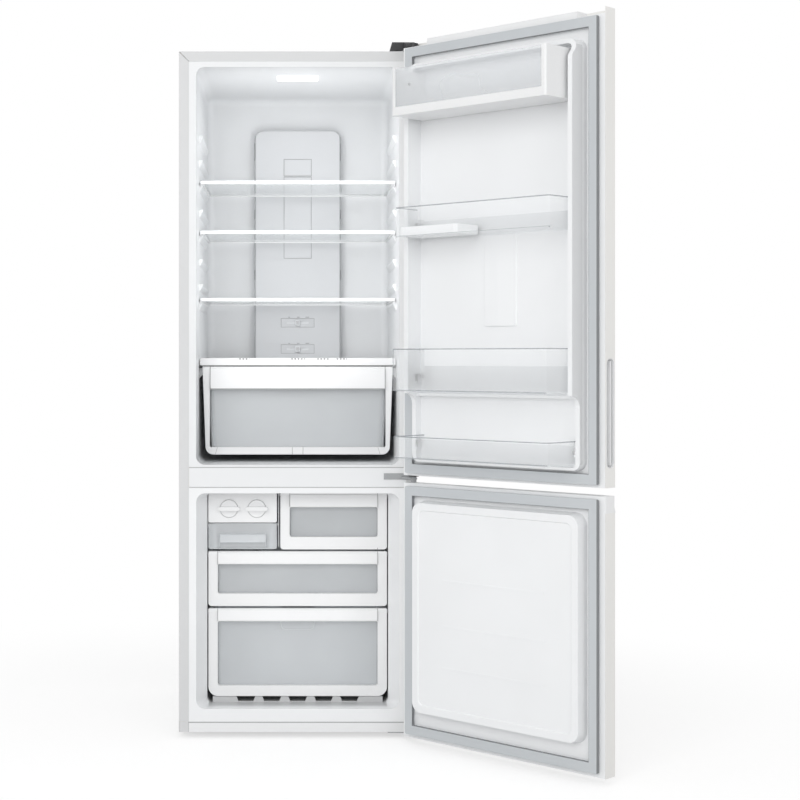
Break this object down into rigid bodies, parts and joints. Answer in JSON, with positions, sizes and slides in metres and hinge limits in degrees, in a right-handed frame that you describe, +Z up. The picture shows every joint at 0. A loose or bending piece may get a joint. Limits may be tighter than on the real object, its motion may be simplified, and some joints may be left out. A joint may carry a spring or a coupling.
{
  "type": "bottom freezer refrigerator",
  "caption": "Tall two-door refrigerator, freezer drawers below, with doors on the right standing open, glass shelves, crisper, door bins and twist ice maker.",
  "frame": {"origin": "on the floor that the feet stand on, in the middle of the cabinet's width, straight under the cabinet's front face", "axes": "+Z up, +Y from the cabinet's front to its back, +X to the right as seen from the front; the doors hang on the +X side and stand open towards -Y"},
  "size_m": [1.0103, 1.1081, 1.745],
  "materials": {
    "case_paint": "white powder coat, fine orange peel",
    "door_paint": "white powder coat, fine orange peel",
    "galvanised": "zinc coated sheet",
    "insulation": "rigid foam",
    "liner": "vacuum formed, satin gloss",
    "trim": "moulded, satin gloss",
    "ice_trays": "moulded, satin gloss",
    "gasket": "soft vinyl",
    "glass": "clear float glass",
    "clear_plastic": "clear polystyrene",
    "lamp": "frosted",
    "hinge_steel": "grey paint",
    "hinge_cover": "black, fine grain",
    "compressor": "black enamel",
    "pan": "black, moulded",
    "evaporator": "rolled",
    "feet": "grey, moulded"
  },
  "bodies": {
    "cabinet": {"outer_case": "case_paint", "back_panel": "case_paint", "cabinet_foam": "insulation", "fridge_liner": "liner", "freezer_liner": "liner", "mullion_cover": "trim", "base_tray": "galvanised", "compressor": "compressor", "drain_pan": "pan", "top_hinge": "hinge_steel", "top_hinge_cover": "hinge_cover", "mid_hinge": "hinge_steel", "bottom_hinge": "hinge_steel", "duct_cover": "trim", "lamp_lens": "lamp", "evaporator": "evaporator", "freezer_back_cover": "trim", "ice_maker_frame": "trim"},
    "evaporator_fan": {"evaporator_fan": "pan"},
    "foot_left": {"foot_left": "feet"},
    "foot_right": {"foot_right": "feet"},
    "roller_left": {"roller_left": "pan"},
    "roller_right": {"roller_right": "pan"},
    "vent_knob_upper": {"vent_knob_upper": "trim"},
    "vent_knob_lower": {"vent_knob_lower": "trim"},
    "ice_twister_left": {"ice_twister_left": "ice_trays"},
    "ice_twister_right": {"ice_twister_right": "ice_trays"},
    "ice_bin": {"ice_bin": "trim"},
    "crisper_cover": {"crisper_cover": "clear_plastic"},
    "shelf_1": {"shelf_1_frame": "trim", "shelf_1_glass": "glass"},
    "drawer_1": {"drawer_1_bin": "clear_plastic", "drawer_1_front": "trim"},
    "shelf_2": {"shelf_2_frame": "trim", "shelf_2_glass": "glass"},
    "drawer_2": {"drawer_2_bin": "clear_plastic", "drawer_2_front": "trim"},
    "shelf_3": {"shelf_3_frame": "trim", "shelf_3_glass": "glass"},
    "drawer_3": {"drawer_3_bin": "clear_plastic", "drawer_3_front": "trim"},
    "crisper": {"crisper_bin": "clear_plastic", "crisper_front": "trim"},
    "fridge_door": {"fridge_door_skin": "door_paint", "fridge_door_caps": "trim", "fridge_door_foam": "insulation", "fridge_door_liner": "liner", "fridge_door_gasket": "gasket", "fridge_door_handle": "trim"},
    "bin_1": {"bin_1_frame": "trim", "bin_1_window": "clear_plastic"},
    "bin_2": {"bin_2": "trim"},
    "bin_3": {"bin_3": "trim"},
    "bin_4": {"bin_4": "trim"},
    "egg_tray": {"egg_tray": "ice_trays"},
    "freezer_door": {"freezer_door_skin": "door_paint", "freezer_door_caps": "trim", "freezer_door_foam": "insulation", "freezer_door_liner": "liner", "freezer_door_gasket": "gasket"}
  },
  "joints": [
    {"name": "fridge_door_hinge", "type": "hinge", "parent": "cabinet", "child": "fridge_door", "pos_m": [0.288, -0.038, 0.663], "axis": [0, 0, 1], "range_deg": [-135, 0]},
    {"name": "freezer_door_hinge", "type": "hinge", "parent": "cabinet", "child": "freezer_door", "pos_m": [0.288, -0.038, 0.016], "axis": [0, 0, 1], "range_deg": [-135, 0]},
    {"name": "shelf_1_slide", "type": "slide", "parent": "cabinet", "child": "shelf_1", "axis": [0, -1, 0], "range_m": [0, 0.25]},
    {"name": "shelf_2_slide", "type": "slide", "parent": "cabinet", "child": "shelf_2", "axis": [0, -1, 0], "range_m": [0, 0.25]},
    {"name": "shelf_3_slide", "type": "slide", "parent": "cabinet", "child": "shelf_3", "axis": [0, -1, 0], "range_m": [0, 0.25]},
    {"name": "crisper_cover_slide", "type": "slide", "parent": "cabinet", "child": "crisper_cover", "axis": [0, -1, 0], "range_m": [0, 0.25]},
    {"name": "crisper_slide", "type": "slide", "parent": "cabinet", "child": "crisper", "axis": [0, -1, 0], "range_m": [0, 0.26]},
    {"name": "drawer_1_slide", "type": "slide", "parent": "cabinet", "child": "drawer_1", "axis": [0, -1, 0], "range_m": [0, 0.29]},
    {"name": "drawer_2_slide", "type": "slide", "parent": "cabinet", "child": "drawer_2", "axis": [0, -1, 0], "range_m": [0, 0.29]},
    {"name": "drawer_3_slide", "type": "slide", "parent": "cabinet", "child": "drawer_3", "axis": [0, -1, 0], "range_m": [0, 0.21]},
    {"name": "ice_bin_slide", "type": "slide", "parent": "cabinet", "child": "ice_bin", "axis": [0, -1, 0], "range_m": [0, 0.23]},
    {"name": "ice_twister_left_turn", "type": "hinge", "parent": "cabinet", "child": "ice_twister_left", "pos_m": [-0.1748, 0.06, 0.57], "axis": [0, 1, 0], "range_deg": [0, 120], "stiffness_Nm_per_rad": 0.3},
    {"name": "ice_twister_right_turn", "type": "hinge", "parent": "cabinet", "child": "ice_twister_right", "pos_m": [-0.1038, 0.06, 0.57], "axis": [0, 1, 0], "range_deg": [0, 120], "stiffness_Nm_per_rad": 0.3},
    {"name": "bin_1_lift", "type": "slide", "parent": "fridge_door", "child": "bin_1", "axis": [0, 0, 1], "range_m": [0, 0.009]},
    {"name": "bin_2_lift", "type": "slide", "parent": "fridge_door", "child": "bin_2", "axis": [0, 0, 1], "range_m": [0, 0.04]},
    {"name": "bin_3_lift", "type": "slide", "parent": "fridge_door", "child": "bin_3", "axis": [0, 0, 1], "range_m": [0, 0.04]},
    {"name": "bin_4_lift", "type": "slide", "parent": "fridge_door", "child": "bin_4", "axis": [0, 0, 1], "range_m": [0, 0.04]},
    {"name": "egg_tray_slide", "type": "slide", "parent": "bin_2", "child": "egg_tray", "axis": [0.7071, -0.7071, 0], "range_m": [0, 0.26]},
    {"name": "vent_knob_upper_slide", "type": "slide", "parent": "cabinet", "child": "vent_knob_upper", "axis": [1, 0, 0], "range_m": [-0.024, 0.024]},
    {"name": "vent_knob_lower_slide", "type": "slide", "parent": "cabinet", "child": "vent_knob_lower", "axis": [1, 0, 0], "range_m": [-0.024, 0.024]},
    {"name": "evaporator_fan_spin", "type": "hinge", "parent": "cabinet", "child": "evaporator_fan", "pos_m": [0, 0.433, 0.5315], "axis": [0, 1, 0], "continuous": true},
    {"name": "foot_left_screw", "type": "slide", "parent": "cabinet", "child": "foot_left", "axis": [0, 0, -1], "range_m": [0, 0.012]},
    {"name": "roller_left_roll", "type": "hinge", "parent": "cabinet", "child": "roller_left", "pos_m": [-0.236, 0.558, 0.017], "axis": [1, 0, 0], "continuous": true},
    {"name": "foot_right_screw", "type": "slide", "parent": "cabinet", "child": "foot_right", "axis": [0, 0, -1], "range_m": [0, 0.012]},
    {"name": "roller_right_roll", "type": "hinge", "parent": "cabinet", "child": "roller_right", "pos_m": [0.236, 0.558, 0.017], "axis": [1, 0, 0], "continuous": true}
  ]
}
